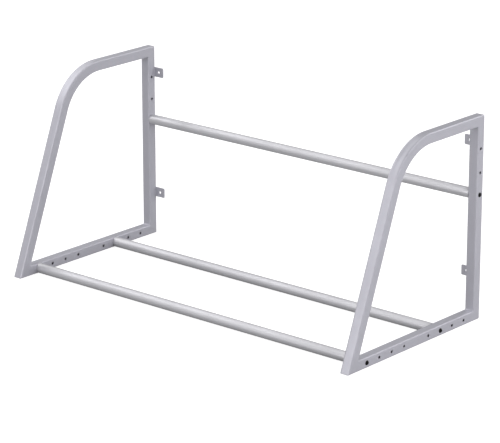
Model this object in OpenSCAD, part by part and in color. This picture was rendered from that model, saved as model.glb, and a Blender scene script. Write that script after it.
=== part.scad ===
// Tyre storage rack. Two welded side frames of square tube stand against a wall and are joined
// by three round cross bars, which are bolted on. The tyres stand on the two lower bars and lean
// on the back bar. The bars can be bolted to other holes to suit other tyres.
// Millimetres. X runs along the bars, +Y points at the wall, +Z is up.
// The origin is on the floor, under the middle of the rack.

/* [Overall] */
// Length over the outer faces of the side frames
rack_length = 1270; // [600:10:2000]
// Depth from the tip of the front foot to the wall
rack_depth = 600; // [500:5:760]
// Height of the top arms above the floor
rack_height = 600; // [480:5:760]

/* [Side frame tube] */
// Side of the square tube
tube_w = 30; // [25:1:38]
// Wall of the square tube
tube_wall = 1.5; // [1:0.1:3]
// Outside corner radius of the square tube
tube_corner_r = 3.5; // [3.1:0.1:6]
// Lean of the front leg from upright, in degrees
leg_lean = 21.2; // [12:0.1:27]
// Radius of the bend between front leg and top arm, to the middle of the tube
bend_r = 165; // [120:5:200]

/* [Cross bars] */
// Outside diameter of the round bars
bar_d = 30; // [22:1:38]
// Wall of the round bars
bar_wall = 1.5; // [1:0.1:3]

/* [Hole rows] */
// First rail hole, from the tip of the front foot
front_hole_margin = 80; // [70:1:100]
// Least distance from the last rail hole to the wall
rear_hole_margin = 70; // [60:1:100]
// Distance between rail holes
rail_hole_pitch = 55.5; // [40:0.5:60]
// Rail hole left undrilled, counted from 0 at the front
blank_hole = 4; // [1:1:4]
// Rail hole that holds the rear lower bar, counted from 0 at the front
rear_bar_hole = 6; // [5:1:7]
// Highest post hole, below the top of the frame
post_hole_top = 95; // [85:1:120]
// Middle post hole, below the highest one
post_gap_upper = 70; // [40:1:90]
// Lowest post hole, below the middle one; it holds the back bar
post_gap_lower = 64; // [40:1:90]

/* [Bolts] */
// Thread diameter of the bolts
bolt_d = 8; // [6:1:10]
// Diameter of the button head
head_d = 14; // [13:0.5:18]
// Height of the button head
head_h = 4.4; // [3.3:0.1:5.5]
// Hexagon socket, across flats
socket_af = 5; // [4:0.5:6]
// Depth of the hexagon socket
socket_depth = 2.6; // [2:0.1:3]
// Thread held in the bar's end plug
thread_grip = 15; // [10:1:20]
// Gap round the bolt in the tube walls, each side
hole_clear = 0.25; // [0.1:0.05:0.75]
// Gap round the bolt in the end plug, each side
thread_clear = 0.1; // [0.05:0.05:0.3]

/* [End plugs] */
// Length of the threaded plug in each bar end
plug_len = 18; // [12:1:30]
// Gap round the plug inside the bar, each side
plug_clear = 0.05; // [0.02:0.01:0.2]
// Bevel on the plug's inner end
plug_bevel = 1; // [0.2:0.1:2]

/* [Wall lugs] */
// Reach of each lug from the post
lug_reach = 35; // [28:1:60]
// Height of each lug
lug_h = 30; // [22:1:40]
// Thickness of each lug
lug_t = 3; // [2:0.5:6]
// Radius on the free corners of each lug
lug_corner_r = 3; // [1:0.5:8]
// Screw hole in each lug
lug_hole_d = 8; // [5:0.5:10]
// Screw hole centre, from the post
lug_hole_reach = 17.5; // [14:0.5:20]
// Upper lug centre, below the top of the frame
upper_lug_drop = 80.5; // [60:0.5:120]
// Lower lug centre, above the floor
lower_lug_z = 134; // [60:1:180]

/* [Hidden] */

LEFT = -1;
RIGHT = 1;

frame_colour = [0.70, 0.70, 0.74];
bar_colour = [0.78, 0.78, 0.80];
bolt_colour = [0.05, 0.05, 0.06];
steel_colour = [0.60, 0.60, 0.62];

// Facets round a circle and round the bend, and how far a cutter runs past what it cuts
round_fn = 64;
bend_fn = 180;
past = 1;

// The frames' middle planes and faces
frame_x = rack_length / 2 - tube_w / 2;
inner_x = rack_length / 2 - tube_w;
wall_y = rack_depth / 2;
front_y = -rack_depth / 2;
arm_z = rack_height - tube_w / 2;

// Whichever of tube and bar is thicker stands on the floor and touches the wall
bar_inset = max(tube_w, bar_d) / 2;

// Corners of a side frame, as [y, z]: on its outside, and on its inside
front_foot = [front_y, 0];
front_foot_in = [front_y + tube_w * tan(leg_lean) + tube_w / cos(leg_lean), tube_w];
rear_foot = [wall_y, 0];
rear_foot_in = [wall_y - tube_w, tube_w];
rear_top = [wall_y, rack_height];
rear_top_in = [wall_y - tube_w, rack_height - tube_w];

// The middle lines of front leg and top arm would cross at knee; the bend starts and ends
// knee_cut short of it
bend_angle = 90 - leg_lean;
leg_way = [sin(leg_lean), cos(leg_lean)];
knee = [front_y + tube_w / 2 / cos(leg_lean) + arm_z * tan(leg_lean), arm_z];
knee_cut = bend_r * tan(bend_angle / 2);
leg_end = knee - knee_cut * leg_way;
leg_start = knee - (arm_z + tube_w) / cos(leg_lean) * leg_way;
arm_start = knee + [knee_cut, 0];
arm_end = [wall_y + tube_w, arm_z];
bend_centre = arm_start - [0, bend_r];

// The faint band that the bending die leaves where the straight leg runs into the bend
witness_len = 0.4;
witness_rise = 0.02;

// Hole places, as [y, z]
rail_steps = floor((rack_depth - front_hole_margin - rear_hole_margin) / rail_hole_pitch);
function rail_hole(i) = [front_y + front_hole_margin + i * rail_hole_pitch, bar_inset];
rail_holes = [for (i = [0:rail_steps]) if (i != blank_hole) rail_hole(i)];
post_drops = [post_hole_top, post_hole_top + post_gap_upper,
              post_hole_top + post_gap_upper + post_gap_lower];
post_holes = [for (drop = post_drops) [wall_y - bar_inset, rack_height - drop]];

// Where the three bars sit, as [y, z]
front_bar_at = rail_hole(0);
rear_bar_at = rail_hole(rear_bar_hole);
back_bar_at = post_holes[2];

hole_d = bolt_d + 2 * hole_clear;
bolt_len = tube_w + thread_grip;
bar_len = 2 * inner_x;
upper_lug_z = rack_height - upper_lug_drop;

// A square with round corners, centred
module rounded_square(w, r) {
  square([w, w - 2 * r], center = true);
  square([w - 2 * r, w], center = true);
  for (x = [-1, 1], y = [-1, 1])
    translate([x * (w / 2 - r), y * (w / 2 - r)]) circle(r, $fn = round_fn);
}

// Cross-section of the square tube, with its wall grown by rise outwards and inwards
module tube_section(rise = 0) {
  difference() {
    rounded_square(tube_w + 2 * rise, tube_corner_r + rise);
    rounded_square(tube_w - 2 * tube_wall - 2 * rise, tube_corner_r - tube_wall - rise);
  }
}

// Children drawn on the [y, z] plane of one side frame, with X as their third axis
module on_side(side) {
  translate([side * frame_x, 0, 0]) rotate([90, 0, 90]) children();
}

// A straight length of square tube between two [y, z] points
module tube_run(from, to, rise = 0) {
  run = to - from;
  translate([from.x, from.y, 0]) rotate([0, 0, atan2(run.y, run.x)])
    rotate([0, 90, 0]) linear_extrude(height = norm(run)) tube_section(rise);
}

// Cuts away one side of the mitre line through two [y, z] points: turn is 1 for the side on
// the left of the way from outer to inner, and -1 for its right
module mitre_cutter(outer, inner, turn) {
  way = inner - outer;
  aside = 2 * turn * [-way.y, way.x];
  a = outer - 2 * way;
  b = inner + 2 * way;
  linear_extrude(height = tube_w + 2 * past, center = true) polygon([a, b, b + aside, a + aside]);
}

// Bolt holes through both walls at a list of [y, z] points
module bolt_holes(points) {
  for (p = points)
    translate([p.x, p.y, 0]) cylinder(h = tube_w + 2 * past, d = hole_d, center = true, $fn = round_fn);
}

// Flat on the floor, mitred to the front leg and to the rear post
module bottom_rail(side) {
  color(frame_colour) on_side(side) difference() {
    tube_run([front_y - tube_w, tube_w / 2], [wall_y + tube_w, tube_w / 2]);
    mitre_cutter(front_foot, front_foot_in, 1);
    mitre_cutter(rear_foot, rear_foot_in, -1);
    bolt_holes(rail_holes);
  }
}

// Upright against the wall, mitred to the rail and to the top arm
module rear_post(side) {
  color(frame_colour) on_side(side) difference() {
    tube_run([wall_y - tube_w / 2, -tube_w], [wall_y - tube_w / 2, rack_height + tube_w]);
    mitre_cutter(rear_foot, rear_foot_in, 1);
    mitre_cutter(rear_top, rear_top_in, -1);
    bolt_holes(post_holes);
  }
}

// Leaning front leg and level top arm, one tube with one round bend
module bent_tube(side) {
  color(frame_colour) on_side(side) difference() {
    union() {
      tube_run(leg_start, leg_end - witness_len / 4 * leg_way);
      tube_run(leg_end - witness_len / 2 * leg_way, leg_end + witness_len / 2 * leg_way, witness_rise);
      translate([bend_centre.x, bend_centre.y, 0]) rotate([0, 0, 90])
        rotate_extrude(angle = bend_angle, $fn = bend_fn) translate([bend_r, 0]) tube_section();
      tube_run(arm_start, arm_end);
    }
    mitre_cutter(front_foot, front_foot_in, -1);
    mitre_cutter(rear_top, rear_top_in, 1);
  }
}

// Outline of a lug on [x, z], centred, with its post at the side given
module lug_outline(side, reach) {
  square([reach, lug_h - 2 * lug_corner_r], center = true);
  translate([side * lug_corner_r / 2, 0]) square([reach - lug_corner_r, lug_h], center = true);
  for (z = [-1, 1])
    translate([-side * (reach / 2 - lug_corner_r), z * (lug_h / 2 - lug_corner_r)])
      circle(lug_corner_r, $fn = round_fn);
}

// Flat drilled plate, flush with the wall face; its root follows the round corner of the post
module wall_lug(side, z) {
  reach = lug_reach + tube_corner_r;
  color(frame_colour) difference() {
    translate([side * (inner_x - lug_reach + reach / 2), wall_y, z]) rotate([90, 0, 0])
      linear_extrude(height = lug_t) lug_outline(side, reach);
    translate([side * frame_x, wall_y - tube_w / 2, z]) linear_extrude(height = 2 * lug_h, center = true)
      rounded_square(tube_w, tube_corner_r);
    translate([side * (inner_x - lug_hole_reach), wall_y - lug_t / 2, z]) rotate([90, 0, 0])
      cylinder(h = lug_t + 2 * past, d = lug_hole_d, center = true, $fn = round_fn);
  }
}

// Round tube between the inner faces of the side frames
module cross_bar(at) {
  color(bar_colour) translate([0, at.x, at.y]) rotate([0, 90, 0]) difference() {
    cylinder(h = bar_len, d = bar_d, center = true, $fn = round_fn);
    cylinder(h = bar_len + 2 * past, d = bar_d - 2 * bar_wall, center = true, $fn = round_fn);
  }
}

// Children drawn with +Z along the bar, pointing out of the end at the side given
module at_bar_end(side, at, x) {
  translate([side * x, at.x, at.y]) rotate([0, side * 90, 0]) children();
}

// Threaded steel plug, flush with the end of its bar
module end_plug(side, at) {
  plug_r = bar_d / 2 - bar_wall - plug_clear;
  bore_r = bolt_d / 2 + thread_clear;
  color(steel_colour) at_bar_end(side, at, inner_x) rotate_extrude($fn = round_fn)
    polygon([[bore_r, -plug_len], [plug_r - plug_bevel, -plug_len],
             [plug_r, plug_bevel - plug_len], [plug_r, 0], [bore_r, 0]]);
}

// Button-head bolt through both walls of the tube and into the end plug
module bar_bolt(side, at) {
  dome_r = (head_d * head_d / 4 + head_h * head_h) / (2 * head_h);
  color(bolt_colour) at_bar_end(side, at, rack_length / 2) difference() {
    union() {
      intersection() {
        cylinder(h = head_h, d = head_d, $fn = round_fn);
        translate([0, 0, head_h - dome_r]) sphere(dome_r, $fn = round_fn);
      }
      translate([0, 0, -bolt_len]) cylinder(h = bolt_len + past, d = bolt_d, $fn = round_fn);
    }
    translate([0, 0, head_h - socket_depth])
      cylinder(h = socket_depth + past, d = socket_af / cos(30), $fn = 6);
  }
}

module left_bottom_rail() { bottom_rail(LEFT); }
module left_rear_post() { rear_post(LEFT); }
module left_bent_tube() { bent_tube(LEFT); }
module left_upper_wall_lug() { wall_lug(LEFT, upper_lug_z); }
module left_lower_wall_lug() { wall_lug(LEFT, lower_lug_z); }
module right_bottom_rail() { bottom_rail(RIGHT); }
module right_rear_post() { rear_post(RIGHT); }
module right_bent_tube() { bent_tube(RIGHT); }
module right_upper_wall_lug() { wall_lug(RIGHT, upper_lug_z); }
module right_lower_wall_lug() { wall_lug(RIGHT, lower_lug_z); }
module front_lower_bar() { cross_bar(front_bar_at); }
module rear_lower_bar() { cross_bar(rear_bar_at); }
module back_bar() { cross_bar(back_bar_at); }
module front_bar_left_plug() { end_plug(LEFT, front_bar_at); }
module front_bar_right_plug() { end_plug(RIGHT, front_bar_at); }
module rear_bar_left_plug() { end_plug(LEFT, rear_bar_at); }
module rear_bar_right_plug() { end_plug(RIGHT, rear_bar_at); }
module back_bar_left_plug() { end_plug(LEFT, back_bar_at); }
module back_bar_right_plug() { end_plug(RIGHT, back_bar_at); }
module front_bar_left_bolt() { bar_bolt(LEFT, front_bar_at); }
module front_bar_right_bolt() { bar_bolt(RIGHT, front_bar_at); }
module rear_bar_left_bolt() { bar_bolt(LEFT, rear_bar_at); }
module rear_bar_right_bolt() { bar_bolt(RIGHT, rear_bar_at); }
module back_bar_left_bolt() { bar_bolt(LEFT, back_bar_at); }
module back_bar_right_bolt() { bar_bolt(RIGHT, back_bar_at); }

left_bottom_rail();
left_rear_post();
left_bent_tube();
left_upper_wall_lug();
left_lower_wall_lug();
right_bottom_rail();
right_rear_post();
right_bent_tube();
right_upper_wall_lug();
right_lower_wall_lug();
front_lower_bar();
rear_lower_bar();
back_bar();
front_bar_left_plug();
front_bar_right_plug();
rear_bar_left_plug();
rear_bar_right_plug();
back_bar_left_plug();
back_bar_right_plug();
front_bar_left_bolt();
front_bar_right_bolt();
rear_bar_left_bolt();
rear_bar_right_bolt();
back_bar_left_bolt();
back_bar_right_bolt();
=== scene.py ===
"""Tyre storage rack: finished tubes, bars, bolts, plugs, lugs and welds, in a plain studio.

Two welded side frames of square tube stand against a wall. Three round cross bars are bolted
between them. Everything is in metres: X runs along the bars, +Y points at the wall, +Z is up.
"""

import logging
import math
from dataclasses import dataclass
from enum import Enum

import bpy
import numpy as np
from mathutils import Matrix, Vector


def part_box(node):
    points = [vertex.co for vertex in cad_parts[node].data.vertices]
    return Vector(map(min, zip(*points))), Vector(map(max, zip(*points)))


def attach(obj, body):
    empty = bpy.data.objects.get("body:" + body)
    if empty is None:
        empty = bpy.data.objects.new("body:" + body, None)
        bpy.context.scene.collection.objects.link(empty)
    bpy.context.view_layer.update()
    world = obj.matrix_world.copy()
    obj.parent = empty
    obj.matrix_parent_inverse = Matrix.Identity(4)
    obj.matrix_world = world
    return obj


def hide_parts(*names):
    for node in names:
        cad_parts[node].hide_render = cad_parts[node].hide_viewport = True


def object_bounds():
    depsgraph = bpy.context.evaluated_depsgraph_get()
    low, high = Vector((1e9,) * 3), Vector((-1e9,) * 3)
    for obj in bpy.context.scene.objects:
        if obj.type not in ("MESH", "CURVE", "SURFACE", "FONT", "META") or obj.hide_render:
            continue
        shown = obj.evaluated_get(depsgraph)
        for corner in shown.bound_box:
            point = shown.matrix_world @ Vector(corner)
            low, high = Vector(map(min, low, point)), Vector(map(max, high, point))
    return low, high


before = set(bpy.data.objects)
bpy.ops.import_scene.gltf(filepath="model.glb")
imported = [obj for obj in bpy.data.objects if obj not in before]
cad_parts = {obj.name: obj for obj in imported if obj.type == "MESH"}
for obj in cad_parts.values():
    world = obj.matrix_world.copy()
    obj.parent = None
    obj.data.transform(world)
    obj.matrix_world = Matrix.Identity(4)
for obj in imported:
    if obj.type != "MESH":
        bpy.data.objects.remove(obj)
cad_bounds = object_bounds()
log = logging.getLogger("tyre_rack")

MM = 0.001
SHARP_ANGLE = math.radians(38)
BODY = "root"
MIDDLE_BAND = (0.3, 0.7)

Colour = tuple[float, float, float, float]
WHITE: Colour = (1.0, 1.0, 1.0, 1.0)


class Side(Enum):
    """Which side frame a piece belongs to; the value is the sign of its X."""

    LEFT = -1
    RIGHT = 1

    @property
    def word(self) -> str:
        """The side's name as it stands in the names of pieces."""
        return self.name.lower()


class Bar(Enum):
    """The cross bars; the value is the name of the bar's piece."""

    FRONT = "front_lower_bar"
    REAR = "rear_lower_bar"
    BACK = "back_bar"

    @property
    def end(self) -> str:
        """The start of the names of the bar's plugs and bolts."""
        return f"{self.name.lower()}_bar"


class Slot(Enum):
    """The record's material slots."""

    FRAME = "frame_paint"
    BAR = "bar_paint"
    PLUG = "plug_steel"
    BOLT = "bolt_black"


class Skin:
    """The surface of one piece while it is put together from grids of points.

    Each point carries two marks: edge, where a coat is thin over an edge, and dressed, where the
    metal was ground before it was coated.
    """

    def __init__(self) -> None:
        """Starts an empty surface."""
        self._points: list[np.ndarray] = []
        self._edge: list[np.ndarray] = []
        self._dressed: list[np.ndarray] = []
        self._quads: list[np.ndarray] = []
        self._triangles: list[np.ndarray] = []
        self._count = 0

    def lay(self, points: np.ndarray, edge: np.ndarray | float = 0.0,
            dressed: np.ndarray | float = 0.0) -> np.ndarray:
        """Adds a grid of points.

        Args:
            points: Places, with x, y and z on the last axis.
            edge: Mark for each point, or one for all.
            dressed: Mark for each point, or one for all.

        Returns:
            The points' numbers, in the grid's own layout.
        """
        shape = points.shape[:-1]
        size = int(np.prod(shape))
        self._points.append(points.reshape(-1, 3))
        self._edge.append(np.broadcast_to(edge, shape).reshape(-1))
        self._dressed.append(np.broadcast_to(dressed, shape).reshape(-1))
        numbers = np.arange(self._count, self._count + size).reshape(shape)
        self._count += size
        return numbers

    def weave(self, grid: np.ndarray, ring: bool = True, loop: bool = False,
              keep: np.ndarray | None = None) -> None:
        """Joins neighbours of a grid by quads that face along (column step) x (row step).

        Args:
            grid: Point numbers, rows by columns.
            ring: Whether the last column is joined to the first.
            loop: Whether the last row is joined to the first.
            keep: Mask of the cells to fill, or None for all.
        """
        if loop:
            grid = np.vstack([grid, grid[:1]])
        if ring:
            grid = np.hstack([grid, grid[:, :1]])
        quads = np.stack([grid[:-1, :-1], grid[:-1, 1:], grid[1:, 1:], grid[1:, :-1]], axis=-1)
        self._quads.append(quads.reshape(-1, 4) if keep is None else quads[keep])

    def cap(self, rim: np.ndarray, centre: np.ndarray, ends: bool) -> None:
        """Closes a ring of points with triangles round one centre point.

        Args:
            rim: Point numbers round the ring.
            centre: Place of the centre point.
            ends: True where the surface ends with this ring, False where it starts with it.
        """
        hub = np.full(len(rim), self.lay(np.asarray(centre, float).reshape(1, 3))[0])
        after = np.roll(rim, -1)
        pair = (rim, after) if ends else (after, rim)
        self._triangles.append(np.stack([hub, *pair], axis=-1))

    def make(self, name: str) -> bpy.types.Object:
        """Makes the mesh object, without the points that no face uses.

        Args:
            name: Name of the piece.

        Returns:
            The object, standing at the origin.
        """
        points = np.concatenate(self._points)
        quads = np.concatenate(self._quads)
        triangles = np.concatenate(self._triangles) if self._triangles else np.empty((0, 3), int)
        used, numbers = np.unique(np.concatenate([quads.ravel(), triangles.ravel()]),
                                  return_inverse=True)
        mesh = bpy.data.meshes.new(name)
        mesh.vertices.add(len(used))
        mesh.vertices.foreach_set("co", points[used].astype(np.float32).ravel())
        corners = np.concatenate([np.full(len(quads), 4), np.full(len(triangles), 3)])
        mesh.loops.add(len(numbers))
        mesh.loops.foreach_set("vertex_index", numbers.astype(np.int32))
        mesh.polygons.add(len(corners))
        starts = np.concatenate([[0], np.cumsum(corners)[:-1]])
        mesh.polygons.foreach_set("loop_start", starts.astype(np.int32))
        for label, values in (("edge", self._edge), ("dressed", self._dressed)):
            attribute = mesh.attributes.new(label, "FLOAT", "POINT")
            attribute.data.foreach_set("value", np.concatenate(values)[used].astype(np.float32))
        mesh.update(calc_edges=True)
        mesh.validate()
        mesh.shade_smooth()
        mesh.set_sharp_from_angle(angle=SHARP_ANGLE)
        piece = bpy.data.objects.new(name, mesh)
        bpy.context.scene.collection.objects.link(piece)
        return piece


def finished(node: str) -> str:
    """Name of the finished piece that stands for a plain solid."""
    return f"{node}_finished"


def finish_piece(piece: bpy.types.Object, material: bpy.types.Material, slot: Slot,
                 *replaced: str) -> None:
    """Coats a piece, fixes it to the rack and hides the plain solids that it stands for.

    Args:
        piece: The finished mesh object.
        material: Its material.
        slot: The record's slot that the material belongs to; not used.
        *replaced: Names of the plain solids that the piece stands for.
    """
    piece.data.materials.append(material)
    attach(piece, BODY)
    if replaced:
        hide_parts(*replaced)
    log.info("%s: %d faces", piece.name, len(piece.data.polygons))


def smooth_step(t: np.ndarray) -> np.ndarray:
    """Rises from 0 to 1 with flat ends: three t squared less two t cubed."""
    t = np.clip(t, 0.0, 1.0)
    return t * t * (3.0 - 2.0 * t)


def round_angles(columns: int) -> np.ndarray:
    """Angles spaced evenly over one full turn, from 0."""
    return np.linspace(0.0, 2 * math.pi, columns + 1)[:-1]


# ---------------------------------------------------------------------------------- side frames


@dataclass(frozen=True)
class SquareTube:
    """Square tube stock with round corners."""

    width: float = 30.0 * MM
    wall: float = 1.5 * MM
    corner: float = 3.5 * MM
    crown: float = 0.05 * MM
    corner_steps: int = 8
    flat_steps: int = 6
    cell: float = 8.0 * MM
    cell_steps: int = 8

    @property
    def core(self) -> float:
        """Half side of the square that the corner arcs turn about."""
        return self.width / 2 - self.corner

    def walk(self) -> tuple[np.ndarray, np.ndarray]:
        """Walks once round the section, anticlockwise, from the flat that faces +X.

        The section is the core square pushed out along its normal. The normal stands still along
        a flat and turns a quarter at each corner.

        Returns:
            Core points (n, 2) and the angles of their normals (n,).
        """
        drilled = np.concatenate(
            ([-self.core], np.linspace(-self.cell, self.cell, self.cell_steps + 1), [self.core]))
        plain = np.linspace(-self.core, self.core, self.flat_steps + 1)
        turn = np.linspace(0.0, math.pi / 2, self.corner_steps + 1)[1:-1]
        points, angles = [], []
        for quarter, flat in enumerate((drilled, plain, drilled, plain)):
            base = quarter * math.pi / 2
            out = np.array([math.cos(base), math.sin(base)]).round()
            along = np.array([-out[1], out[0]])
            points += [self.core * out + flat[:, None] * along,
                       np.tile(self.core * (out + along), (len(turn), 1))]
            angles += [np.full(len(flat), base), base + turn]
        return np.concatenate(points), np.concatenate(angles)

    def cell_columns(self) -> tuple[int, int]:
        """First columns of the hole cells on the +X flat and on the -X flat."""
        half_turn = self.cell_steps + 3 + self.flat_steps + 1 + 2 * (self.corner_steps - 1)
        return 1, half_turn + 1

    def crowning(self, across: np.ndarray) -> np.ndarray:
        """How far a flat sinks at a distance from its middle: crown (1 - t^2)^2."""
        t = np.clip(np.abs(across) / self.core, 0.0, 1.0)
        return self.crown * (1.0 - t * t) ** 2


@dataclass(frozen=True)
class Corner:
    """Where two tubes of a side frame meet in a mitre, on [y, z]."""

    at: np.ndarray
    way: np.ndarray
    out: np.ndarray
    other_way: np.ndarray
    other_out: np.ndarray

    @property
    def slope(self) -> np.ndarray:
        """How far the mitre plane moves along the side plane for each metre of outward offset."""
        return (self.out + self.other_out) / (1.0 + self.out @ self.other_out)

    def seam(self, offset: np.ndarray) -> np.ndarray:
        """Places where fibres of the tube meet their twins on the mitre plane."""
        return self.at + offset[..., None] * self.slope

    def distance(self, places: np.ndarray) -> np.ndarray:
        """Distance of places on [y, z] from the mitre plane."""
        normal = self.way - self.other_way
        return np.abs((places - self.at) @ (normal / np.linalg.norm(normal)))

    def rows(self, offset: np.ndarray, dress: np.ndarray, lead: float, rounding_steps: int,
             lead_steps: int) -> np.ndarray:
        """Rows of the tube's end, from the mitre plane to a straight cut.

        Each fibre leaves the mitre plane on half of a parabola, whose whole joins the two tubes
        and starts at the length dress from the sharp corner. Then it runs straight, and its rows
        turn evenly from the mitre to square.

        Args:
            offset: Outward offset of each fibre.
            dress: Length of each fibre's rounding.
            lead: Length after which the rows are square.
            rounding_steps: Rows in the rounding.
            lead_steps: Rows in the straight lead.

        Returns:
            Places on [y, z], rows by fibres by 2.
        """
        seam = self.seam(offset)
        tangent = seam + dress[:, None] * self.way
        middle = seam + dress[:, None] / 4 * (self.way + self.other_way)
        t = np.linspace(0.0, 1.0, rounding_steps + 1)[:, None, None]
        rounding = ((1 - t) ** 2 * middle + t * (1 - t) * (tangent + seam) + t ** 2 * tangent)
        square = self.at + lead * self.way + offset[:, None] * self.out
        f = np.linspace(0.0, 1.0, lead_steps + 1)[1:, None, None]
        return np.concatenate([rounding, tangent + f * (square - tangent)])


@dataclass(frozen=True)
class Stretch:
    """Middle line of a tube between two corners, given at stations along it."""

    station: np.ndarray
    centre: np.ndarray
    out: np.ndarray
    bending: np.ndarray


@dataclass(frozen=True)
class FrameTube:
    """One tube of a side frame, mitred at both ends and drilled through both side flats."""

    name: str
    middle_x: float
    stock: SquareTube
    start: Corner
    end: Corner
    stretch: Stretch
    holes: tuple[float, ...] = ()
    hole_radius: float = 4.25 * MM
    lip: float = 0.5 * MM
    burr: float = 0.3 * MM
    outer_dress: float = 1.6 * MM
    inner_dress: float = 3.0 * MM
    bore_dress: float = 0.5 * MM
    lead: float = 46.0 * MM
    rounding_steps: int = 5
    lead_steps: int = 4
    dressed_reach: float = 7.0 * MM
    bend_sink: float = 0.45 * MM
    bend_bulge: float = 0.25 * MM
    corner_wear: float = 0.55
    web_shares: tuple[float, ...] = (0.35, 0.7, 1.0)
    lip_steps: int = 4

    def sections(self, radius: float) -> tuple[np.ndarray, np.ndarray]:
        """Works out the section of a skin, straight and at each station.

        The section is the core square pushed out by the radius, less the crown's shallow sink on
        every flat. In a bend the outer and inner flats sink further and the side flats bulge,
        each by its own depth times the crown's shape.

        Args:
            radius: Distance of the skin from the section's core square.

        Returns:
            The straight section (columns, 2) and the stations' sections (stations, columns, 2),
            each point as its offset along X and its outward offset.
        """
        core, angle = self.stock.walk()
        normal = np.stack([np.cos(angle), np.sin(angle)], axis=-1)
        is_side = np.abs(normal[:, 0]) > 0.5
        is_flat = np.isclose(np.sin(2 * angle), 0.0, atol=1e-6)
        across = np.where(is_side, core[:, 1], core[:, 0])
        crown = np.where(is_flat, self.stock.crowning(across), 0.0)
        section = core + (radius - crown)[:, None] * normal
        unit = crown / self.stock.crown
        sink = np.where(is_side, -self.bend_bulge, self.bend_sink) * unit
        bent = section[None] - (self.stretch.bending[:, None] * sink)[..., None] * normal
        return section, bent

    def dress(self, offset: np.ndarray, is_outer: bool) -> np.ndarray:
        """Length of each fibre's rounding: small outside the corner, larger inside it.

        Args:
            offset: Outward offset of each fibre.
            is_outer: True for the outside, False for the bore.

        Returns:
            The lengths, running evenly from the inner dress to the outer across the core.
        """
        if not is_outer:
            return np.full(len(offset), self.bore_dress)
        share = np.clip(offset / self.stock.core, -1.0, 1.0) / 2 + 0.5
        return self.inner_dress + (self.outer_dress - self.inner_dress) * share

    def wall_skin(self, radius: float, is_outer: bool) -> tuple[np.ndarray, np.ndarray]:
        """Works out the outside or the bore of the tube, from mitre to mitre.

        A place is the station's centre plus the section's two offsets, one along X and one along
        the station's outward normal.

        Args:
            radius: Distance of the skin from the section's core square.
            is_outer: True for the outside, False for the bore.

        Returns:
            Places (rows, columns, 3), and the outward offset of each column.
        """
        section, bent = self.sections(radius)
        offset = section[:, 1]
        middle = self.stretch.centre[:, None] + bent[..., 1:] * self.stretch.out[:, None]
        first, last = (
            corner.rows(offset, self.dress(offset, is_outer), self.lead, self.rounding_steps,
                        self.lead_steps) for corner in (self.start, self.end))
        straight = np.tile(section[:, 0], (len(first), 1))
        x = self.middle_x + np.concatenate([straight, bent[..., 0], straight])
        plane = np.concatenate([first, middle, last[::-1]])
        return np.concatenate([x[..., None], plane], axis=-1), offset

    def marks(self, places: np.ndarray, offset: np.ndarray) -> tuple[np.ndarray, np.ndarray]:
        """Works out where the coat is thin and where the metal was ground.

        The dressed mark falls off like a bell with the distance from the nearer mitre. The edge
        mark is the section's roundness, or on the outer side the mitre's own narrow bell.

        Args:
            places: Places of the outside (rows, columns, 3).
            offset: Outward offset of each column.

        Returns:
            The edge mark and the dressed mark (rows, columns).
        """
        _, angle = self.stock.walk()
        plane = places[..., 1:]
        reach = np.minimum(self.start.distance(plane), self.end.distance(plane))
        roundness = np.abs(np.sin(2 * angle))
        mitre = np.exp(-(reach / self.outer_dress) ** 2) * (offset > self.stock.core)
        dressed = np.exp(-(reach / self.dressed_reach) ** 2)
        return np.maximum(roundness * self.corner_wear, mitre), dressed

    def cell_rim(self, numbers: np.ndarray, row: int, column: int) -> np.ndarray:
        """Walks round a hole's cell, anticlockwise seen from outside.

        Args:
            numbers: Point numbers of the skin, rows by columns.
            row: First row of the cell.
            column: First column of the cell.

        Returns:
            The point numbers on the cell's rim.
        """
        n = self.stock.cell_steps
        return np.concatenate([
            numbers[row, column:column + n], numbers[row:row + n, column + n],
            numbers[row + n, column + n:column:-1], numbers[row + n:row:-1, column]])

    def hole_rings(self, rim: np.ndarray, face: int, station: int) -> np.ndarray:
        """Works out the rings of one hole, from its cell's rim outside to its rim in the bore.

        The square rim shrinks evenly to a circle, which rolls over the lip, runs straight down
        the wall, rolls over the burr, and grows back to the square.

        Args:
            rim: Places of the cell's rim as outward offset and distance along the tube (m, 2).
            face: 1 for the +X flat and -1 for the -X flat.
            station: Number of the station at the hole's middle.

        Returns:
            Places (rings, m, 3).
        """
        unit = rim / np.linalg.norm(rim, axis=1)[:, None]
        web = np.array(self.web_shares)
        quarter = np.linspace(0.0, math.pi / 2, self.lip_steps + 1)[1:]
        deep = self.stock.wall
        radius = np.concatenate([
            np.full(len(web), self.hole_radius + self.lip),
            self.hole_radius + self.lip * (1 - np.sin(quarter)),
            self.hole_radius + self.burr * (1 - np.cos(quarter - quarter[0])),
            np.full(len(web), self.hole_radius + self.burr)])
        depth = np.concatenate([
            np.zeros(len(web)), self.lip * (1 - np.cos(quarter)),
            deep - self.burr * (1 - np.sin(quarter - quarter[0])), np.full(len(web), deep)])
        share = np.concatenate([web, np.ones(2 * self.lip_steps), web[::-1]])
        flat = (1 - share)[:, None, None] * rim + (share * radius)[:, None, None] * unit
        x = self.stock.width / 2 - self.stock.crowning(flat[..., 0]) - depth[:, None]
        middle = self.stretch.centre[station]
        out = self.stretch.out[station]
        along = np.array([-out[1], out[0]])
        plane = middle + flat[..., :1] * out + flat[..., 1:] * along
        return np.concatenate([(self.middle_x + face * x)[..., None], plane], axis=-1)

    def rim_on_flat(self, rim: np.ndarray, station: int) -> np.ndarray:
        """Turns places of a cell's rim into offsets from the middle of its hole.

        Args:
            rim: Places of the rim (m, 3).
            station: Number of the station at the hole's middle.

        Returns:
            Outward offset and distance along the tube (m, 2).
        """
        out = self.stretch.out[station]
        places = rim[:, 1:] - self.stretch.centre[station]
        return np.stack([places @ out, places @ np.array([-out[1], out[0]])], axis=-1)

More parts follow.
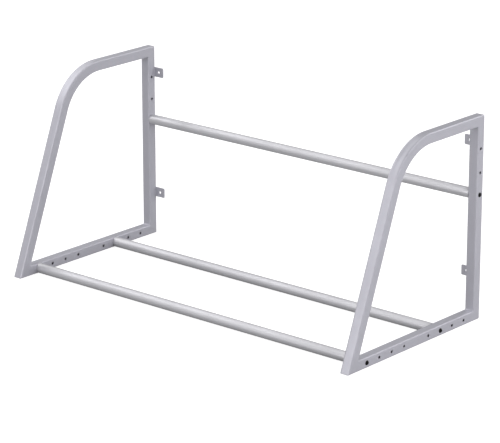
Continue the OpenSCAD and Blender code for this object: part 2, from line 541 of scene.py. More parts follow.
    def build(self) -> bpy.types.Object:
        """Builds the tube as one closed wall, drilled and open at both mitres.

        Returns:
            The tube's object.
        """
        skin = Skin()
        outside, offset = self.wall_skin(self.stock.corner, True)
        bore, _ = self.wall_skin(self.stock.corner - self.stock.wall, False)
        outer = skin.lay(outside, *self.marks(outside, offset))
        inner = skin.lay(bore)
        keep = np.ones((outer.shape[0] - 1, outer.shape[1]), bool)
        cell_steps = self.stock.cell_steps
        end_rows = self.rounding_steps + 1 + self.lead_steps
        lip_rings = slice(len(self.web_shares), len(self.web_shares) + self.lip_steps + 1)
        for hole in self.holes:
            station = int(np.argmin(np.abs(self.stretch.station - hole)))
            row = end_rows + station - cell_steps // 2
            for face, column in zip((1, -1), self.stock.cell_columns()):
                keep[row:row + cell_steps, column:column + cell_steps] = False
                rim = self.cell_rim(outer, row, column)
                flat = self.rim_on_flat(outside.reshape(-1, 3)[rim], station)
                rings = self.hole_rings(flat, face, station)
                worn = np.zeros(len(rings))
                worn[lip_rings] = 1.0
                numbers = skin.lay(rings, worn[:, None])
                skin.weave(np.vstack([rim, numbers, self.cell_rim(inner, row, column)]))
        skin.weave(outer, keep=keep)
        skin.weave(inner[::-1], keep=keep[::-1])
        skin.weave(np.vstack([inner[:1], outer[:1]]))
        skin.weave(np.vstack([outer[-1:], inner[-1:]]))
        return skin.make(finished(self.name))


@dataclass(frozen=True)
class WallLug:
    """Flat drilled plate that screws a side frame to the wall."""

    name: str
    side: Side
    post_x: float
    wall_y: float
    height_z: float
    corner_of_post: float = 3.5 * MM
    reach: float = 35.0 * MM
    height: float = 30.0 * MM
    thickness: float = 3.0 * MM
    corner: float = 3.0 * MM
    hole_reach: float = 17.5 * MM
    hole_radius: float = 4.0 * MM
    rounding: float = 0.45 * MM
    tuck_reach: float = 10.0 * MM
    edge_wear: float = 1.2
    run_points: int = 9
    root_points: int = 13
    rounding_steps: int = 4
    face_steps: int = 4
    wall_steps: int = 6

    def outline(self) -> np.ndarray:
        """Walks round the plate anticlockwise: a rectangle whose two free corners are round."""
        half = self.height / 2
        near = self.reach - self.corner
        run = np.linspace(0.0, near, self.run_points)
        turn = np.linspace(-math.pi / 2, 0.0, self.run_points)[1:-1]
        arc = np.stack([near + self.corner * np.cos(turn),
                        self.corner - half + self.corner * np.sin(turn)], axis=-1)
        rise = np.linspace(self.corner - half, half - self.corner, self.run_points)
        root = np.linspace(half, -half, self.root_points)[1:-1]
        return np.concatenate([
            np.stack([run, np.full_like(run, -half)], axis=-1), arc,
            np.stack([np.full_like(rise, self.reach), rise], axis=-1), arc[::-1] * (1, -1),
            np.stack([run[::-1], np.full_like(run, half)], axis=-1),
            np.stack([np.zeros_like(root), root], axis=-1)])

    def build(self) -> bpy.types.Object:
        """Builds the plate: one profile, hole to edge to hole, carried round the outline.

        Across the faces each ring is a blend of the outline and the hole's circle. The root
        slides under the round corner of the post by the corner's own depth at that thickness.
        The edge mark is a triangle over the inset, highest half way round each rounded edge.

        Returns:
            The plate's object.
        """
        outline = self.outline()
        step = np.roll(outline, -1, axis=0) - np.roll(outline, 1, axis=0)
        normal = np.stack([step[:, 1], -step[:, 0]], axis=-1)
        normal /= np.linalg.norm(normal, axis=1)[:, None]
        centre = np.array([self.hole_reach, 0.0])
        ray = outline - centre
        ray /= np.linalg.norm(ray, axis=1)[:, None]
        r, t = self.rounding, self.thickness
        quarter = np.linspace(0.0, math.pi / 2, self.rounding_steps + 1)
        rising, sinking = r * (1 - np.cos(quarter)), r * (1 - np.sin(quarter))
        face = np.linspace(0.0, 1.0, self.face_steps + 1)[1:-1]
        wall = np.linspace(t - r, r, self.wall_steps + 1)[1:-1]
        n_round, n_face, n_wall = len(quarter), len(face), len(wall)
        to_hole = np.concatenate([np.zeros(n_round), face, np.ones(2 * n_round + n_wall),
                                  face[::-1], np.zeros(n_round + n_wall)])
        inset = np.tile(np.concatenate([rising, np.full(n_face, r), sinking,
                                        np.zeros(n_wall)]), 2)
        depth = np.concatenate([t - sinking, np.full(n_face, t), t - rising, wall,
                                sinking, np.zeros(n_face), rising, wall[::-1]])
        at_edge = outline - inset[:, None, None] * normal
        at_hole = centre + (self.hole_radius + inset)[:, None, None] * ray
        share = to_hole[:, None, None]
        flat = (1 - share) * at_edge + share * at_hole
        drop = np.clip(self.corner_of_post - depth, 0.0, None)
        tuck = self.corner_of_post - np.sqrt(self.corner_of_post ** 2 - drop ** 2)
        pull = np.clip(1.0 - flat[..., 0] / self.tuck_reach, 0.0, 1.0)
        outwards = flat[..., 0] - tuck[:, None] * pull
        sign = -self.side.value
        places = np.stack([
            self.side.value * self.post_x + sign * outwards,
            np.broadcast_to(self.wall_y - depth[:, None], outwards.shape),
            self.height_z + sign * flat[..., 1]], axis=-1)
        worn = np.clip(self.edge_wear * (1 - np.abs(inset - r / 2) / (r / 2)), 0.0, 1.0)
        skin = Skin()
        numbers = skin.lay(places, worn[:, None])
        skin.weave(numbers, loop=True)
        return skin.make(finished(self.name))


@dataclass(frozen=True)
class WeldBead:
    """Fillet weld laid in an inside corner: a flat oval rope with crescent ripples."""

    name: str
    start: np.ndarray
    end: np.ndarray
    face_a: np.ndarray
    face_b: np.ndarray
    half_width: float = 2.3 * MM
    half_height: float = 0.9 * MM
    lift: float = 0.75 * MM
    pitch: float = 1.5 * MM
    ripple: float = 0.07
    crescent: float = 0.35
    wave_lean: float = 0.7
    wave_rest: float = 0.6
    end_power: int = 6
    end_crowding: float = 0.35
    thinness: float = 0.25
    columns: int = 24
    rows_per_pitch: int = 6

    def build(self) -> bpy.types.Object:
        """Builds the bead.

        Its section is an oval lying across the corner. Along the way it swells by a rounded saw
        wave, whose phase runs ahead in the middle, and its ends close like an ellipse. The rows
        stand closer at the ends: their places are part cosine spaced and part even.

        Returns:
            The bead's object.
        """
        length = float(np.linalg.norm(self.end - self.start))
        way = (self.end - self.start) / length
        rise = self.face_a + self.face_b
        rise /= np.linalg.norm(rise)
        across = np.cross(way, rise)
        rows = int(length / self.pitch * self.rows_per_pitch)
        even = np.linspace(0.0, 1.0, rows + 1)[1:-1]
        crowded = (1 - np.cos(math.pi * even)) / 2
        s = self.end_crowding * crowded + (1 - self.end_crowding) * even
        angle = round_angles(self.columns)
        saw = (s[:, None] * length / self.pitch + self.crescent * np.sin(angle)) % 1.0
        wave = np.sin(math.pi * saw ** self.wave_lean) - self.wave_rest
        end_shape = np.sqrt(1 - np.abs(2 * s - 1) ** self.end_power)[:, None]
        size = end_shape * (1 + self.ripple * wave)
        middle = self.start + self.lift * rise
        places = (middle + (s * length)[:, None, None] * way
                  + (self.half_width * size * np.cos(angle))[..., None] * across
                  + (self.half_height * size * np.sin(angle))[..., None] * rise)
        skin = Skin()
        numbers = skin.lay(places, self.thinness, 1.0)
        skin.weave(numbers[:, ::-1])
        skin.cap(numbers[0, ::-1], middle, False)
        skin.cap(numbers[-1, ::-1], middle + length * way, True)
        return skin.make(self.name)


@dataclass(frozen=True)
class MiddleLine:
    """Middle line of a side frame on [y, z].

    It holds the three mitred corners, the start of the bend, and the unit ways along rail, post,
    arm and leg in the order of a walk round the frame.
    """

    front_foot: np.ndarray
    rear_foot: np.ndarray
    rear_top: np.ndarray
    bend_start: np.ndarray
    rail: np.ndarray
    post: np.ndarray
    arm: np.ndarray
    leg: np.ndarray


@dataclass(frozen=True)
class SideFrame:
    """One welded side frame: rail, rear post, bent tube, two wall lugs and its weld beads."""

    side: Side
    stock: SquareTube
    lean: float = math.radians(21.2)
    bend_radius: float = 165.0 * MM
    first_hole: float = 80.0 * MM
    hole_pitch: float = 55.5 * MM
    drilled: tuple[int, ...] = (0, 1, 2, 3, 5, 6, 7, 8)
    post_drops: tuple[float, ...] = (95.0 * MM, 165.0 * MM, 229.0 * MM)
    bend_steps: int = 46
    longest_step: float = 14.0 * MM
    bend_ease: float = 30.0 * MM
    corner_bead_gap: float = 1.0 * MM
    lug_bead_gap: float = 1.5 * MM
    lug_bead_half_width: float = 1.9 * MM

    def node(self, piece: str) -> str:
        """Name of one of this frame's pieces."""
        return f"{self.side.word}_{piece}"

    @property
    def middle_x(self) -> float:
        """X of the frame's middle plane."""
        low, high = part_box(self.node("bottom_rail"))
        return (low.x + high.x) / 2

    def middle_line(self) -> MiddleLine:
        """Finds the frame's middle line.

        The leg's middle line crosses the rail's where the leg's outer face, half a tube further
        out, meets the floor at the rail's front end. The bend starts one tangent length behind
        the place where leg and arm would cross.

        Returns:
            The line.
        """
        rail_low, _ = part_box(self.node("bottom_rail"))
        _, post_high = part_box(self.node("rear_post"))
        half = self.stock.width / 2
        foot_y = rail_low.y + half / math.cos(self.lean) + half * math.tan(self.lean)
        foot_z = rail_low.z + half
        top = post_high.z - half
        rear = post_high.y - half
        knee_y = foot_y + (top - foot_z) * math.tan(self.lean)
        tangent = self.bend_radius * math.tan((math.pi / 2 - self.lean) / 2)
        return MiddleLine(
            front_foot=np.array([foot_y, foot_z]),
            rear_foot=np.array([rear, foot_z]),
            rear_top=np.array([rear, top]),
            bend_start=np.array([knee_y + tangent, top]),
            rail=np.array([1.0, 0.0]),
            post=np.array([0.0, 1.0]),
            arm=np.array([-1.0, 0.0]),
            leg=np.array([-math.sin(self.lean), -math.cos(self.lean)]))

    @staticmethod
    def outward(way: np.ndarray) -> np.ndarray:
        """Outward normal of a tube that is walked anticlockwise round the frame."""
        return np.array([way[1], -way[0]])

    def corner(self, at: np.ndarray, way: np.ndarray, other: np.ndarray,
               leaving: bool) -> Corner:
        """Makes a mitre.

        Args:
            at: Where the middle lines cross.
            way: The tube's own way round the frame.
            other: The way of the tube that it meets.
            leaving: Whether the tube leaves the corner, and the other comes to it.

        Returns:
            The corner as this tube sees it, with both ways pointing away from it.
        """
        sign = 1.0 if leaving else -1.0
        return Corner(at, sign * way, self.outward(way), -sign * other, self.outward(other))

    def spread(self, start: float, end: float, holes: tuple[float, ...]) -> np.ndarray:
        """Places stations so that each hole has its cell and no step is too long.

        Args:
            start: Distance at which the stations start.
            end: Distance at which they end.
            holes: Distances of the holes' middles.

        Returns:
            The stations between start and end, without the two.
        """
        lines = [np.array([start])]
        for hole in sorted(holes):
            lines.append(hole + np.linspace(-self.stock.cell, self.stock.cell,
                                            self.stock.cell_steps + 1))
        lines.append(np.array([end]))
        stations = [lines[0]]
        for before, after in zip(lines[:-1], lines[1:]):
            gap = after[0] - before[-1]
            steps = max(1, math.ceil(gap / self.longest_step))
            stations += [before[-1] + gap * np.arange(1, steps) / steps, after]
        return np.concatenate(stations)[1:-1]

    def straight(self, name: str, start: Corner, end: Corner,
                 holes: tuple[float, ...]) -> FrameTube:
        """Describes a straight tube between two corners.

        Args:
            name: The piece's name.
            start: The corner that it leaves.
            end: The corner that it reaches.
            holes: Distances of its holes from the start corner.

        Returns:
            The tube.
        """
        length = float(np.linalg.norm(end.at - start.at))
        lead = FrameTube.lead
        station = self.spread(lead, length - lead, holes)
        centre = start.at + station[:, None] * start.way
        out = np.tile(start.out, (len(station), 1))
        return FrameTube(name, self.middle_x, self.stock, start, end,
                         Stretch(station, centre, out, np.zeros(len(station))), holes)

    def bent(self, start: Corner, end: Corner, bend_start: np.ndarray) -> FrameTube:
        """Describes the bent tube: level arm, round bend and leaning leg.

        Along the arc the outward normal turns with the way: it is cos a of the arm's normal plus
        sin a of the arm's way, and the place is the arc's centre plus the radius along it.

        Args:
            start: The corner at the rear top.
            end: The corner at the front foot.
            bend_start: Where the arc starts.

        Returns:
            The tube.
        """
        lead = FrameTube.lead
        arm = float(np.linalg.norm(bend_start - start.at))
        sweep = math.pi / 2 - self.lean
        arc = self.bend_radius * sweep
        centre = bend_start - self.bend_radius * start.out
        leg_start = centre + self.bend_radius * end.out
        leg = float(np.linalg.norm(end.at - leg_start))
        arm_steps = math.ceil((arm - lead) / self.longest_step)
        leg_steps = math.ceil((leg - lead) / self.longest_step)
        station = np.concatenate([
            np.linspace(lead, arm, arm_steps + 1)[1:-1],
            np.linspace(arm, arm + arc, self.bend_steps + 1),
            np.linspace(arm + arc, arm + arc + leg - lead, leg_steps + 1)[1:-1]])
        turn = np.clip((station - arm) / self.bend_radius, 0.0, sweep)[:, None]
        out = np.cos(turn) * start.out + np.sin(turn) * start.way
        before = np.clip(station - arm, None, 0.0)[:, None]
        after = np.clip(station - arm - arc, 0.0, None)[:, None]
        places = centre + self.bend_radius * out + before * start.way - after * end.way
        bending = (smooth_step((station - arm + self.bend_ease / 2) / self.bend_ease)
                   * smooth_step((arm + arc + self.bend_ease / 2 - station) / self.bend_ease))
        return FrameTube(self.node("bent_tube"), self.middle_x, self.stock, start, end,
                         Stretch(station, places, out, bending))

    def tubes(self) -> list[FrameTube]:
        """Describes the three tubes of the frame."""
        line = self.middle_line()
        foot, heel, top = line.front_foot, line.rear_foot, line.rear_top
        rail, post, arm, leg = line.rail, line.post, line.arm, line.leg
        rail_low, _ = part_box(self.node("bottom_rail"))
        rail_holes = tuple(rail_low.y + self.first_hole + self.hole_pitch * i - foot[0]
                           for i in self.drilled)
        top_z = top[1] + self.stock.width / 2
        post_holes = tuple(top_z - drop - heel[1]
                           for drop in sorted(self.post_drops, reverse=True))
        return [
            self.straight(self.node("bottom_rail"), self.corner(foot, rail, leg, True),
                          self.corner(heel, rail, post, False), rail_holes),
            self.straight(self.node("rear_post"), self.corner(heel, post, rail, True),
                          self.corner(top, post, arm, False), post_holes),
            self.bent(self.corner(top, arm, post, True), self.corner(foot, leg, rail, False),
                      line.bend_start)]

    def lugs(self) -> list[WallLug]:
        """Describes the two wall lugs."""
        low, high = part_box(self.node("rear_post"))
        post_x = min(abs(low.x), abs(high.x))
        lugs = []
        for name in ("upper_wall_lug", "lower_wall_lug"):
            lug_low, lug_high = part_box(self.node(name))
            lugs.append(WallLug(self.node(name), self.side, post_x, lug_high.y,
                                (lug_low.z + lug_high.z) / 2, self.stock.corner))
        return lugs

    def beads(self) -> list[WeldBead]:
        """Describes the fillet welds: one in each inside corner and one along each lug."""
        half = self.stock.width / 2
        run = self.stock.core - self.corner_bead_gap
        beads = []
        rail, post, _ = self.tubes()
        for name, corner in (("front_foot_weld", rail.start), ("rear_foot_weld", rail.end),
                             ("rear_top_weld", post.end)):
            y, z = corner.seam(np.array(-half))
            beads.append(WeldBead(
                self.node(name), np.array([self.middle_x - run, y, z]),
                np.array([self.middle_x + run, y, z]),
                np.array([0.0, *(-corner.out)]), np.array([0.0, *(-corner.other_out)])))
        inward = np.array([-float(self.side.value), 0.0, 0.0])
        for lug in self.lugs():
            x = self.side.value * lug.post_x
            y = lug.wall_y - lug.thickness
            reach = lug.height / 2 - self.lug_bead_gap
            beads.append(WeldBead(
                f"{lug.name}_weld", np.array([x, y, lug.height_z - reach]),
                np.array([x, y, lug.height_z + reach]), inward, np.array([0.0, -1.0, 0.0]),
                half_width=self.lug_bead_half_width))
        return beads

    def build(self, coat: bpy.types.Material, weld_coat: bpy.types.Material) -> None:
        """Builds and coats every piece of the frame.

        Args:
            coat: Material of tubes and lugs.
            weld_coat: Material of the weld beads.
        """
        for part in [*self.tubes(), *self.lugs()]:
            finish_piece(part.build(), coat, Slot.FRAME, part.name)
        for bead in self.beads():
            finish_piece(bead.build(), weld_coat, Slot.FRAME)


# ------------------------------------------------------------------------- bars, plugs and bolts


@dataclass(frozen=True)
class Thread:
    """Right-hand metric thread, the same on the bolts and in the plugs."""

    major: float = 4.0 * MM
    pitch: float = 1.25 * MM
    depth: float = 0.7 * MM
    flat: float = 0.12

    def radius(self, angle: np.ndarray, height: np.ndarray) -> np.ndarray:
        """Radius at an angle and a height from the head's seat.

        The phase is height over pitch less angle over a full turn. A triangle wave of it, cut off
        flat at crest and root, gives the share of the depth.

        Args:
            angle: Angles round the axis.
            height: Heights along the axis.

        Returns:
            Radii, by height and angle.
        """
        phase = height[:, None] / self.pitch - angle / (2 * math.pi)
        wave = np.abs(2 * (phase % 1.0) - 1.0)
        return self.major - self.depth * np.clip((wave - self.flat) / (1 - 2 * self.flat), 0, 1)


@dataclass(frozen=True)
class BarEnd:
    """One end of a cross bar, as an axis that points out of the bar."""

    side: Side
    at_y: float
    at_z: float
    x: float

    def places(self, radius: np.ndarray, angle: np.ndarray, height: np.ndarray) -> np.ndarray:
        """Turns radius, angle and height into places; the left end is the right one turned over.

        Args:
            radius: Radii (rows, columns).
            angle: Angles (columns,).
            height: Heights along the axis from x (rows,).

        Returns:
            Places (rows, columns, 3).
        """
        sign = self.side.value
        x = np.broadcast_to(sign * (self.x + height[:, None]), radius.shape)
        return np.stack([x, self.at_y + radius * np.cos(angle),
                         self.at_z + sign * radius * np.sin(angle)], axis=-1)


@dataclass(frozen=True)
class BarBolt:
    """Button-head bolt with a hexagon socket."""

    name: str
    end: BarEnd
    thread: Thread
    head_radius: float = 7.0 * MM
    head_height: float = 4.4 * MM
    rim_height: float = 0.5 * MM
    socket_across: float = 5.0 * MM
    socket_depth: float = 2.6 * MM
    mouth_radius: float = 3.2 * MM
    length: float = 45.0 * MM
    thread_length: float = 22.0 * MM
    tip_length: float = 0.9 * MM
    tip_bevel: float = 0.4 * MM
    tip_face: float = 0.8
    tip_rounding: float = 0.1 * MM
    neck_heights: tuple[float, ...] = (-2.0 * MM, -0.5 * MM, -0.15 * MM, 0.0)
    neck_flare: tuple[float, ...] = (0.0, 0.0, 0.0, 0.08 * MM, 0.35 * MM)
    seat_gap: float = 0.3 * MM
    rim_swell: tuple[float, ...] = (0.0, 0.14 * MM, 0.18 * MM, 0.1 * MM)
    rim_heights: tuple[float, ...] = (0.0, 0.04 * MM, 0.16 * MM, 0.34 * MM, 0.46 * MM)
    dome_margin: float = 0.25 * MM
    dome_rows: int = 9
    mouth_shares: tuple[float, ...] = (0.0, 0.5, 1.0)
    mouth_drops: tuple[float, ...] = (0.06 * MM, 0.2 * MM, 0.42 * MM)
    wall_top: float = 0.8 * MM
    wall_foot: float = 0.2 * MM
    floor_share: float = 0.93
    pit_shares: tuple[float, ...] = (0.6, 0.25)
    pit_drops: tuple[float, ...] = (0.2 * MM, 0.5 * MM)
    pit_point: float = 0.1 * MM
    rim_wear: float = 0.35 * MM
    mouth_wear: float = 0.25 * MM
    columns: int = 48
    rows_per_pitch: int = 8

    def shank(self, angle: np.ndarray) -> tuple[np.ndarray, np.ndarray]:
        """Works out the shank from its tip to the head's seat: bevel, thread, neck and fillet.

        Args:
            angle: Angles round the axis.

        Returns:
            Radii (rows, columns) and heights (rows,).
        """
        rows = int(self.thread_length / self.thread.pitch * self.rows_per_pitch)
        first = self.tip_length - self.length
        height = np.linspace(first, first + self.thread_length, rows + 1)
        cut = self.thread.radius(angle, height)
        run_out = smooth_step((height[-1] - height) / (2 * self.thread.pitch))[:, None]
        cut = self.thread.major - (self.thread.major - cut) * run_out
        tip = self.thread.major - self.thread.depth
        bevel = np.minimum(cut, tip + (height + self.length)[:, None] - self.tip_bevel)
        neck_radius = self.thread.major + np.array(self.neck_flare)
        tip_radius = np.array([self.tip_face * tip, tip - self.tip_rounding])
        tip_height = np.array([0.0, self.tip_rounding / 2]) - self.length
        radius = np.concatenate([np.tile(tip_radius[:, None], len(angle)), bevel,
                                 np.tile(neck_radius[:, None], len(angle))])
        return radius, np.concatenate([tip_height, height, [height[-1] / 2], self.neck_heights])

    def head(self, angle: np.ndarray) -> tuple[np.ndarray, np.ndarray]:
        """Works out the head from its seat to the bottom of the socket.

        The dome is a ball through the rim and the crown. The socket's radius at an angle is half
        its width over the cosine of the angle from the nearest flat.

        Args:
            angle: Angles round the axis.

        Returns:
            Radii (rows, columns) and heights (rows,).
        """
        ball = (self.head_radius ** 2 + self.head_height ** 2) / (2 * self.head_height)
        low = ball - self.head_height
        rim = math.sqrt(ball ** 2 - (low + self.rim_height) ** 2)
        under = rim + np.array([-self.seat_gap, *self.rim_swell])
        dome = np.linspace(rim, self.mouth_radius + self.dome_margin, self.dome_rows)
        dome_height = np.sqrt(ball ** 2 - dome ** 2) - low
        mouth_height = math.sqrt(ball ** 2 - self.mouth_radius ** 2) - low
        sixth = math.pi / 3
        hexagon = self.socket_across / 2 / np.cos(angle % sixth - sixth / 2)
        share = np.array(self.mouth_shares)[:, None]
        mouth = (1 - share) * self.mouth_radius + share * hexagon
        floor = self.head_height - self.socket_depth
        wall_height = [mouth_height - self.wall_top, floor + self.wall_foot, floor]
        socket = hexagon * np.array([1.0, 1.0, self.floor_share, *self.pit_shares])[:, None]
        outside = np.concatenate([under, dome])[:, None] * np.ones(len(angle))
        height = np.concatenate([
            self.rim_heights, dome_height, mouth_height - np.array(self.mouth_drops),
            wall_height, floor - np.array(self.pit_drops)])
        return np.concatenate([outside, mouth, socket]), height

    def build(self) -> bpy.types.Object:
        """Builds the bolt from its tip, up the shank, over the head and down the socket."""
        angle = round_angles(self.columns)
        parts = (self.shank(angle), self.head(angle))
        radius = np.concatenate([part[0] for part in parts])
        height = np.concatenate([part[1] for part in parts])
        skin = Skin()
        rim_share = np.exp(-((radius - self.head_radius) / self.rim_wear) ** 2)
        mouth_share = np.exp(-((radius - self.mouth_radius) / self.mouth_wear) ** 2)
        numbers = skin.lay(self.end.places(radius, angle, height),
                           np.maximum(rim_share, mouth_share * (height[:, None] > 0)))
        skin.weave(numbers)
        sign = self.end.side.value
        tip = [sign * (self.end.x - self.length), self.end.at_y, self.end.at_z]
        pit = [sign * (self.end.x + height[-1] - self.pit_point), self.end.at_y, self.end.at_z]
        skin.cap(numbers[0], tip, False)
        skin.cap(numbers[-1], pit, True)
        return skin.make(finished(self.name))


@dataclass(frozen=True)
class EndPlug:
    """Threaded steel plug, pressed flush into the end of a bar."""

    name: str
    end: BarEnd
    thread: Thread
    seat: float
    radius: float = 13.45 * MM
    length: float = 18.0 * MM
    bevel: float = 1.0 * MM
    clearance: float = 0.1 * MM
    mouth_bevel: float = 0.9 * MM
    face_ring: float = 3.0 * MM
    body_rings: tuple[float, ...] = (0.75, 0.5, 0.25)
    edge_rises: tuple[float, ...] = (-0.2 * MM, -0.05 * MM, 0.0, 0.0)
    edge_insets: tuple[float, ...] = (0.0, 0.06 * MM, 0.2 * MM)
    columns: int = 48
    rows_per_pitch: int = 8

    def build(self) -> bpy.types.Object:
        """Builds the plug: an outside with bevelled ends, and a bore with the bolts' own thread.

        Returns:
            The plug's object.
        """
        angle = round_angles(self.columns)
        rows = int(self.length / self.thread.pitch * self.rows_per_pitch)
        bore_height = np.linspace(0.0, -self.length, rows + 1)
        bore = self.thread.radius(angle, bore_height - self.seat) + self.clearance
        mouth = self.thread.major + self.clearance
        sink = np.maximum(0.0, self.mouth_bevel + bore_height)[:, None]
        foot = np.maximum(0.0, self.mouth_bevel - bore_height - self.length)[:, None]
        bore = np.maximum(bore, mouth - self.thread.depth + np.maximum(sink, foot))
        height = np.array([
            -self.length, -self.length, -self.length + self.bevel / 2, -self.length + self.bevel,
            *(-share * self.length for share in self.body_rings), *self.edge_rises])
        inset = np.array([
            self.bevel, self.bevel / 2, 0.0, *(0.0 for _ in self.body_rings), *self.edge_insets])
        face = mouth + self.face_ring
        radius = np.array([face, *(self.radius - inset), face])
        skin = Skin()
        outside = skin.lay(self.end.places(radius[:, None] * np.ones(self.columns), angle, height))
        inside = skin.lay(self.end.places(bore, angle, bore_height))
        skin.weave(np.vstack([outside, inside]), loop=True)
        return skin.make(finished(self.name))


@dataclass(frozen=True)
class CrossBar:
    """Round tube between the side frames, with a plug and a bolt in each end."""

    bar: Bar
    radius: float = 15.0 * MM
    wall: float = 1.5 * MM
    rim: float = 0.5 * MM
    rim_wear: float = 0.8
    rim_steps: int = 4
    columns: int = 64
    longest_step: float = 20.0 * MM

    @property
    def axis(self) -> tuple[float, float]:
        """Y and Z of the bar's axis."""
        low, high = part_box(self.bar.value)
        return (low.y + high.y) / 2, (low.z + high.z) / 2

    def tube(self) -> bpy.types.Object:
        """Builds the tube: a closed profile of wall and rolled rims, turned about the bar's axis.

        Returns:
            The tube's object.
        """
        low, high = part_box(self.bar.value)
        steps = math.ceil((high.x - low.x) / self.longest_step)
        run = np.linspace(low.x + self.rim, high.x - self.rim, steps + 1)
        quarter = np.linspace(0.0, math.pi / 2, self.rim_steps + 1)[1:-1]
        outer, inner = self.radius, self.radius - self.wall
        out_rim = self.rim * np.sin(quarter)
        in_rim = self.rim * (1 - np.cos(quarter))
        face = np.array([outer - self.rim, inner + self.rim])
        right = np.concatenate([high.x - self.rim + out_rim, [high.x, high.x],
                                high.x - self.rim + out_rim[::-1]])
        rise = np.concatenate([outer - in_rim, face, inner + in_rim[::-1]])
        x = np.concatenate([run, right, run[::-1], low.x + high.x - right[::-1]])
        radius = np.concatenate([np.full(len(run), outer), rise, np.full(len(run), inner),
                                 rise[::-1]])
        angle = round_angles(self.columns)
        at_y, at_z = self.axis
        places = np.stack([
            np.broadcast_to(x[:, None], (len(x), self.columns)),
            at_y + radius[:, None] * np.cos(angle), at_z + radius[:, None] * np.sin(angle)],
            axis=-1)
        skin = Skin()
        is_rim = (np.abs(x - low.x) < 2 * self.rim) | (np.abs(x - high.x) < 2 * self.rim)
        numbers = skin.lay(places, np.where(is_rim, self.rim_wear, 0.0)[:, None])
        skin.weave(numbers, loop=True)
        return skin.make(finished(self.bar.value))

    def build(self, coat: bpy.types.Material, zinc: bpy.types.Material,
              black: bpy.types.Material) -> None:
        """Builds the bar with its plugs and bolts.

        Args:
            coat: Material of the bar.
            zinc: Material of the plugs.
            black: Material of the bolts.
        """
        finish_piece(self.tube(), coat, Slot.BAR, self.bar.value)
        _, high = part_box(self.bar.value)
        at_y, at_z = self.axis
        thread = Thread()
        for side in Side:
            rail_low, rail_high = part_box(f"{side.word}_bottom_rail")
            seat_x = max(abs(rail_low.x), abs(rail_high.x))
            plug_name = f"{self.bar.end}_{side.word}_plug"
            bolt_name = f"{self.bar.end}_{side.word}_bolt"
            plug = EndPlug(plug_name, BarEnd(side, at_y, at_z, high.x), thread, seat_x - high.x)
            bolt = BarBolt(bolt_name, BarEnd(side, at_y, at_z, seat_x), thread)
            finish_piece(plug.build(), zinc, Slot.PLUG, plug_name)
            finish_piece(bolt.build(), black, Slot.BOLT, bolt_name)


# ------------------------------------------------------------------------------------- finishes


class Wiring:
    """Shorthand for placing and joining nodes in a material or a group."""

    def __init__(self, tree: bpy.types.NodeTree) -> None:
        """Takes the tree to work in."""
        self.tree = tree

    def node(self, kind: str, **inputs: object) -> bpy.types.Node:
        """Adds a node and sets or joins its inputs.

        Args:
            kind: The node's type.
            **inputs: Values or output sockets by input name, with _ for a space.

        Returns:
            The new node.
        """
        node = self.tree.nodes.new(kind)
        for name, value in inputs.items():
            self.feed(node.inputs[name.replace("_", " ")], value)
        return node

    def feed(self, socket: bpy.types.NodeSocket, value: object) -> None:
        """Joins a socket to an output, or sets its value."""
        if isinstance(value, bpy.types.NodeSocket):
            self.tree.links.new(value, socket)
        else:
            socket.default_value = value

    def math(self, operation: str, *values: object) -> bpy.types.NodeSocket:
        """Adds a math node.

        Args:
            operation: What it works out.
            *values: Its numbers or sockets, in order.

        Returns:
            Its output.
        """
        node = self.tree.nodes.new("ShaderNodeMath")
        node.operation = operation
        for socket, value in zip(node.inputs, values):
            self.feed(socket, value)
        return node.outputs[0]

    def mix(self, share: object, first: object, second: object) -> bpy.types.NodeSocket:
        """Adds a colour mix.

        Args:
            share: How much of the second colour shows.
            first: The first colour.
            second: The second colour.

        Returns:
            Its output.
        """
        node = self.tree.nodes.new("ShaderNodeMix")
        node.data_type = "RGBA"
        for socket, value in zip((node.inputs["Factor"], node.inputs[6], node.inputs[7]),
                                 (share, first, second)):
            self.feed(socket, value)
        return node.outputs[2]

    def ramp(self, value: object, low: float, high: float, to_low: float = 0.0,
             to_high: float = 1.0) -> bpy.types.NodeSocket:
        """Maps a range of values to another one, clamped.

        Args:
            value: The number or socket to map.
            low: Value that becomes to_low.
            high: Value that becomes to_high.
            to_low: Start of the new range.
            to_high: End of the new range.

        Returns:
            Its output.
        """
        node = self.tree.nodes.new("ShaderNodeMapRange")
        for name, item in (("Value", value), ("From Min", low), ("From Max", high),
                           ("To Min", to_low), ("To Max", to_high)):
            self.feed(node.inputs[name], item)
        return node.outputs[0]

    def noise(self, place: object, scale: object, detail: float = 2.0,
              roughness: float = 0.5) -> bpy.types.NodeSocket:
        """Adds a noise texture.

        Args:
            place: Socket of the place.
            scale: Number of clouds to the metre.
            detail: How many finer layers it has.
            roughness: How strong the finer layers are.

        Returns:
            Its factor.
        """
        node = self.node("ShaderNodeTexNoise", Vector=place, Scale=scale, Detail=detail,
                         Roughness=roughness)
        return node.outputs["Fac"]


def shader_group(name: str, inputs: dict[str, str], outputs: dict[str, str]) -> tuple[
        bpy.types.NodeTree, Wiring, bpy.types.Node, bpy.types.Node]:
    """Starts a shader node group.

    Args:
        name: The group's name.
        inputs: Socket types by input name.
        outputs: Socket types by output name.

    Returns:
        The group, its wiring, and its input and output nodes.
    """
    group = bpy.data.node_groups.new(name, "ShaderNodeTree")
    for label, kind in inputs.items():
        group.interface.new_socket(name=label, in_out="INPUT", socket_type=f"NodeSocket{kind}")
    for label, kind in outputs.items():
        group.interface.new_socket(name=label, in_out="OUTPUT", socket_type=f"NodeSocket{kind}")
    wiring = Wiring(group)
    return group, wiring, wiring.node("NodeGroupInput"), wiring.node("NodeGroupOutput")


